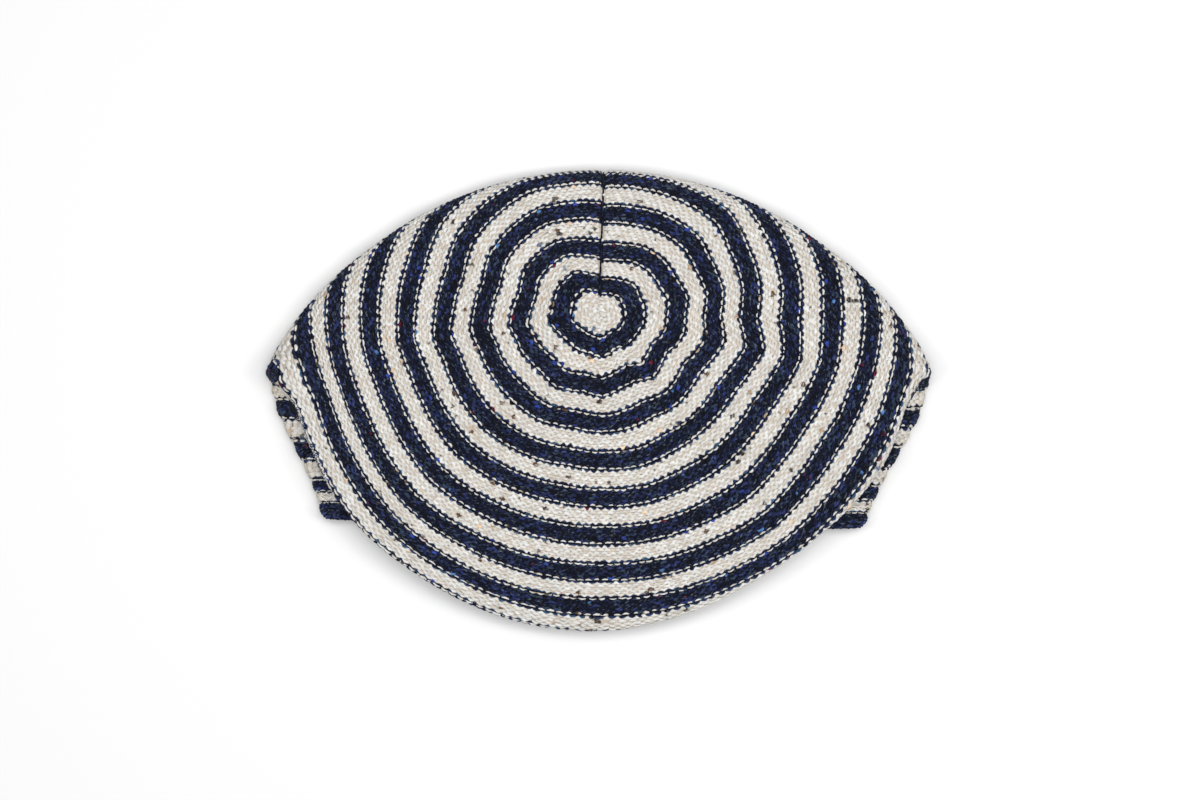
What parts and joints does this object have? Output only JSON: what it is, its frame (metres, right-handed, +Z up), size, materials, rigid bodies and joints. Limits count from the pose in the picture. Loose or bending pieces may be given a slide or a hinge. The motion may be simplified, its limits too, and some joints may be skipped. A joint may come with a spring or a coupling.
{
  "type": "slouch beret",
  "caption": "Knitted slouch beret in striped tweed wool lying flat: wide slack crown folded over the brim, half-round strips at both sides, rolled brim edge and an open hollow for the head.",
  "frame": {"origin": "bottom centre of the bounding box, on the table under the lying beret", "axes": "+X to the right corner of the lying beret, +Y to its back edge, away from the brim, +Z up from the table"},
  "size_m": [0.2898, 0.2021, 0.0269],
  "materials": {
    "wool": "matt knitted wool"
  },
  "bodies": {
    "root": {"knitted_beret": "wool"}
  },
  "joints": []
}
